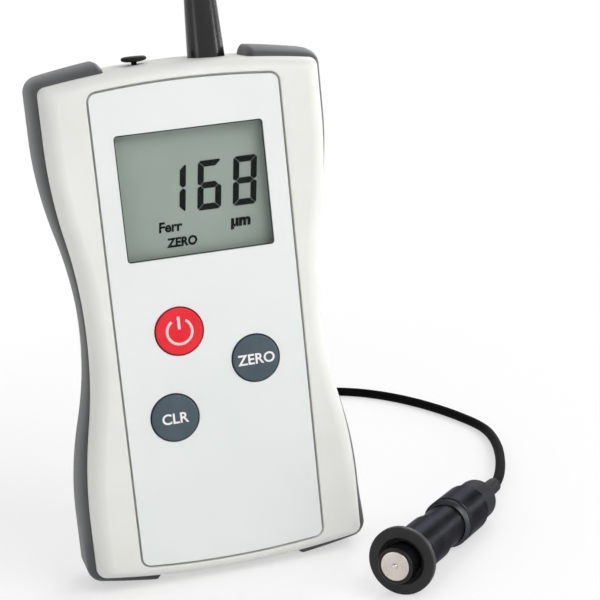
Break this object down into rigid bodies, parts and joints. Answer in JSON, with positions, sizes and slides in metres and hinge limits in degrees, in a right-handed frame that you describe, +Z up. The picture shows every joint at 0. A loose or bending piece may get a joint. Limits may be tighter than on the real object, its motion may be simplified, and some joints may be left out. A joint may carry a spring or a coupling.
{
  "type": "coating thickness gauge",
  "caption": "Handheld coating thickness gauge with a waisted case, soft side bumpers, display, round keys and a spring-loaded contact probe on a thin lead.",
  "frame": {"origin": "on the floor under the middle of the case, between the two lower bumper hooks it stands on", "axes": "+Z up along the case, +X to the right of the display, the display faces -Y; the probe lies on the floor in front at the right"},
  "size_m": [0.1187, 0.1709, 0.172],
  "materials": {
    "shell_white": "warm white moulded plastic, fine satin texture",
    "bumper_rubber": "dark grey soft rubber, matte",
    "label_film": "pale printed polyester film, satin",
    "lens_clear": "clear acrylic, polished",
    "lcd_glass": "grey-green display glass",
    "foil": "matte reflector foil",
    "black_plastic": "black moulded plastic",
    "strip_rubber": "conductive contact rubber",
    "board_green": "green solder resist",
    "bright_steel": "plated steel",
    "key_red": "red silicone, satin",
    "key_grey": "slate grey silicone, satin",
    "cell_sleeve": "plain printed cell sleeve",
    "plug_rubber": "dark grey rubber",
    "boot_black": "black moulded rubber",
    "header_cream": "cream connector plastic",
    "cable_black": "black flexible jacket",
    "tie_grey": "dark woven tie",
    "probe_boot_grey": "dark grey rubber",
    "probe_black": "black turned plastic, satin gloss",
    "probe_rim": "bright turned rim",
    "contact_steel": "turned bright steel",
    "copper": "enamelled copper wire"
  },
  "bodies": {
    "gauge": {"front_shell": "shell_white", "rear_shell": "shell_white", "bumper_left": "bumper_rubber", "bumper_right": "bumper_rubber", "face_label": "label_film", "display_lens": "lens_clear", "lcd_glass": "lcd_glass", "lcd_reflector": "foil", "lcd_frame": "black_plastic", "contact_strips": "strip_rubber", "circuit_board": "board_green", "controller_chip": "black_plastic", "amplifier_chip": "black_plastic", "crystal_can": "bright_steel", "buzzer": "black_plastic", "key_domes": "bright_steel", "board_screws": "bright_steel", "case_screws": "bright_steel", "battery_left": "cell_sleeve", "battery_right": "cell_sleeve", "battery_springs": "bright_steel", "battery_plates": "bright_steel", "interface_socket": "black_plastic", "gauge_boot": "boot_black", "probe_header": "header_cream", "cable_rise": "cable_black", "cable_coil": "cable_black", "coil_tie": "tie_grey", "cable_lead": "cable_black", "probe_boot": "probe_boot_grey", "probe_cap": "probe_black", "probe_ring": "probe_rim", "probe_sleeve": "probe_black", "probe_flange": "probe_black", "probe_spring": "bright_steel", "probe_retainer": "probe_black"},
    "power_key": {"power_key": "key_red"},
    "zero_key": {"zero_key": "key_grey"},
    "clear_key": {"clear_key": "key_grey"},
    "port_plug": {"port_plug": "plug_rubber"},
    "battery_door": {"battery_door": "shell_white"},
    "plunger": {"probe_plunger": "probe_black", "contact_face": "contact_steel", "sensor_coil": "copper", "pole_tip": "contact_steel"}
  },
  "joints": [
    {"name": "power_key_press", "type": "slide", "parent": "gauge", "child": "power_key", "axis": [0, 1, 0], "range_m": [0, 0.0006], "stiffness_N_per_m": 1500},
    {"name": "zero_key_press", "type": "slide", "parent": "gauge", "child": "zero_key", "axis": [0, 1, 0], "range_m": [0, 0.0006], "stiffness_N_per_m": 1500},
    {"name": "clear_key_press", "type": "slide", "parent": "gauge", "child": "clear_key", "axis": [0, 1, 0], "range_m": [0, 0.0006], "stiffness_N_per_m": 1500},
    {"name": "plug_pull", "type": "slide", "parent": "gauge", "child": "port_plug", "axis": [0, 0, 1], "range_m": [0, 0.012]},
    {"name": "door_swing", "type": "hinge", "parent": "gauge", "child": "battery_door", "pos_m": [0, 0.0112, 0.0145], "axis": [-1, 0, 0], "range_deg": [0, 90]},
    {"name": "plunger_press", "type": "slide", "parent": "gauge", "child": "plunger", "axis": [0.642, 0.7651, -0.0489], "range_m": [0, 0.002], "stiffness_N_per_m": 1000, "deforming": ["probe_spring"]}
  ]
}
